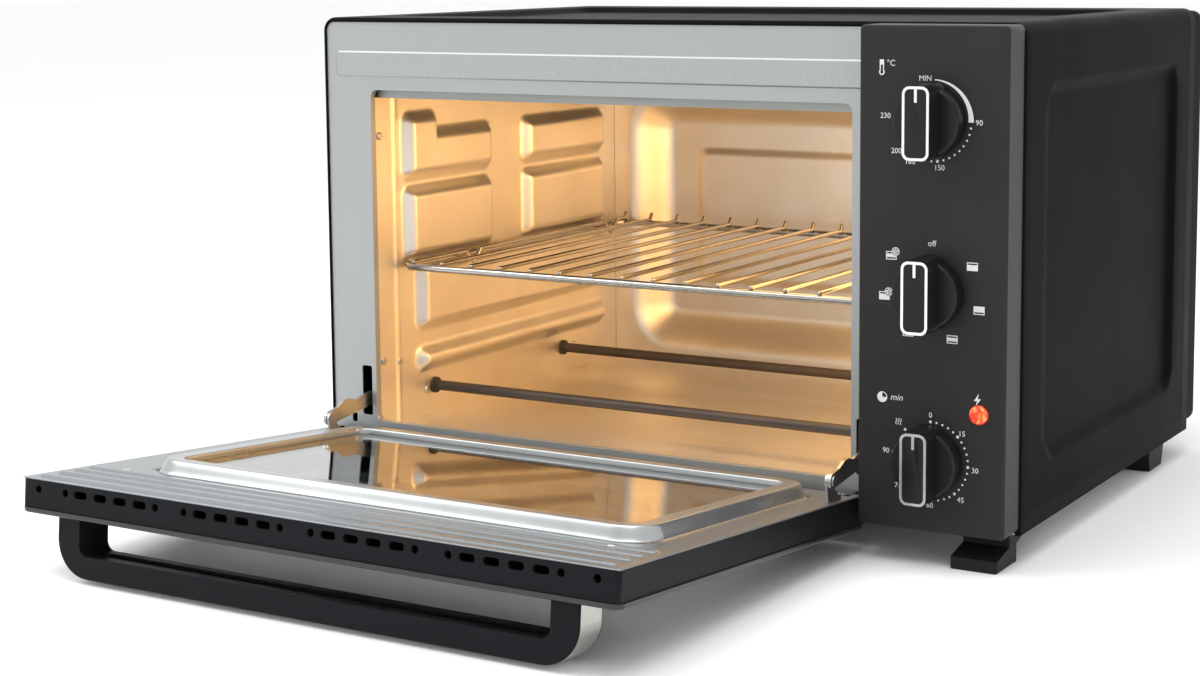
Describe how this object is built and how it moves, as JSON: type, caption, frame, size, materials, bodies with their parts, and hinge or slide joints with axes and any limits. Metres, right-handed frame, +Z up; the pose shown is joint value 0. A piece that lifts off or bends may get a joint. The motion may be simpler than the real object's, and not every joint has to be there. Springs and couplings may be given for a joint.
{
  "type": "toaster oven",
  "caption": "Countertop toaster oven with a drop-down glass door, wire rack, rotary controls, tubular heaters and a convection fan.",
  "frame": {"origin": "on the worktop, under the middle of the case's footprint", "axes": "+X to the right as the user faces the oven, +Y to the back, +Z up"},
  "size_m": [0.49, 0.6416, 0.309],
  "materials": {
    "case_black": "black powder coat, satin",
    "frame_silver": "silver-grey enamel, satin",
    "liner": "aluminised steel sheet, softly shiny",
    "zinc_sheet": "zinc-coated sheet",
    "foot_plastic": "black moulded plastic, matt",
    "panel_plastic": "black, glossy, white print",
    "knob_plastic": "black, semi-gloss",
    "rim_bright": "bright plated trim",
    "switch_body": "moulded phenolic",
    "screw_steel": "plated steel",
    "bulb_copper": "copper capillary and bulb",
    "lens_red": "translucent red",
    "collar_ceramic": "dark ceramic",
    "heater_sheath": "dull oxidised steel tube",
    "motor_steel": "laminated steel",
    "fan_aluminium": "pressed aluminium",
    "door_plastic": "black, satin",
    "door_sheet": "silver-grey enamel, satin",
    "window_glass": "clear",
    "door_glass": "dark tinted, black printed edge",
    "strip_steel": "brushed along its length",
    "arm_steel": "zinc plated",
    "rack_chrome": "bright plated wire"
  },
  "bodies": {
    "oven": {"outer_case": "case_black", "rear_cover": "case_black", "base_plate": "zinc_sheet", "foot_front_left": "foot_plastic", "foot_front_right": "foot_plastic", "foot_rear_left": "foot_plastic", "foot_rear_right": "foot_plastic", "front_frame": "frame_silver", "cavity_left_wall": "liner", "cavity_right_wall": "liner", "cavity_rear_wall": "liner", "cavity_floor": "liner", "cavity_ceiling": "liner", "heater_lower_front": "heater_sheath", "heater_lower_rear": "heater_sheath", "heater_upper_front": "heater_sheath", "heater_upper_rear": "heater_sheath", "heater_collars": "collar_ceramic", "heater_terminals": "screw_steel", "thermostat_body": "switch_body", "selector_body": "switch_body", "timer_body": "switch_body", "control_nuts": "screw_steel", "timer_bell": "screw_steel", "thermostat_bulb": "bulb_copper", "indicator_lens": "lens_red", "indicator_lamp": "switch_body", "terminal_block": "switch_body", "cord_gland": "foot_plastic", "control_panel": "panel_plastic", "fan_housing": "zinc_sheet", "fan_motor": "motor_steel", "hinge_lugs": "zinc_sheet", "hinge_pins": "screw_steel", "liner_screws": "screw_steel", "case_screws": "screw_steel"},
    "door": {"door_frame": "door_plastic", "door_inner_panel": "door_sheet", "door_inner_glass": "window_glass", "door_outer_glass": "door_glass", "door_handle": "door_plastic", "handle_strip": "strip_steel", "handle_screws": "screw_steel", "door_screws": "screw_steel", "arm_ears": "screw_steel", "arm_rivets": "screw_steel"},
    "arm_left": {"hinge_arm_left": "arm_steel"},
    "arm_right": {"hinge_arm_right": "arm_steel"},
    "rack": {"wire_rack": "rack_chrome"},
    "thermostat": {"thermostat_knob": "knob_plastic", "thermostat_rim": "rim_bright", "thermostat_shaft": "screw_steel"},
    "selector": {"selector_knob": "knob_plastic", "selector_rim": "rim_bright", "selector_shaft": "screw_steel"},
    "timer": {"timer_knob": "knob_plastic", "timer_rim": "rim_bright", "timer_shaft": "screw_steel"},
    "fan": {"fan_wheel": "fan_aluminium"}
  },
  "joints": [
    {"name": "door_hinge", "type": "hinge", "parent": "oven", "child": "door", "pos_m": [0, -0.1715, 0.027], "axis": [1, 0, 0], "range_deg": [-85, 0]},
    {"name": "arm_left_pivot", "type": "hinge", "parent": "door", "child": "arm_left", "pos_m": [-0.2145, -0.2045, 0.0485], "axis": [1, 0, 0], "range_deg": [0, 85]},
    {"name": "arm_right_pivot", "type": "hinge", "parent": "door", "child": "arm_right", "pos_m": [0.1475, -0.2045, 0.0485], "axis": [1, 0, 0], "range_deg": [0, 85]},
    {"name": "rack_slide", "type": "slide", "parent": "oven", "child": "rack", "axis": [0, -1, 0], "range_m": [0, 0.25]},
    {"name": "thermostat_turn", "type": "hinge", "parent": "oven", "child": "thermostat", "pos_m": [0.1995, -0.19, 0.255], "axis": [0, 1, 0], "range_deg": [0, 270]},
    {"name": "selector_turn", "type": "hinge", "parent": "oven", "child": "selector", "pos_m": [0.1995, -0.19, 0.1585], "axis": [0, 1, 0], "range_deg": [0, 308.6]},
    {"name": "timer_turn", "type": "hinge", "parent": "oven", "child": "timer", "pos_m": [0.1995, -0.19, 0.062], "axis": [0, 1, 0], "range_deg": [-45, 270]},
    {"name": "fan_spin", "type": "hinge", "parent": "oven", "child": "fan", "pos_m": [0.15, 0.0265, 0.159], "axis": [1, 0, 0], "continuous": true}
  ],
  "couplings": [
    {"joint": "arm_left_pivot", "follows": "door_hinge", "ratio": -1},
    {"joint": "arm_right_pivot", "follows": "door_hinge", "ratio": -1}
  ]
}
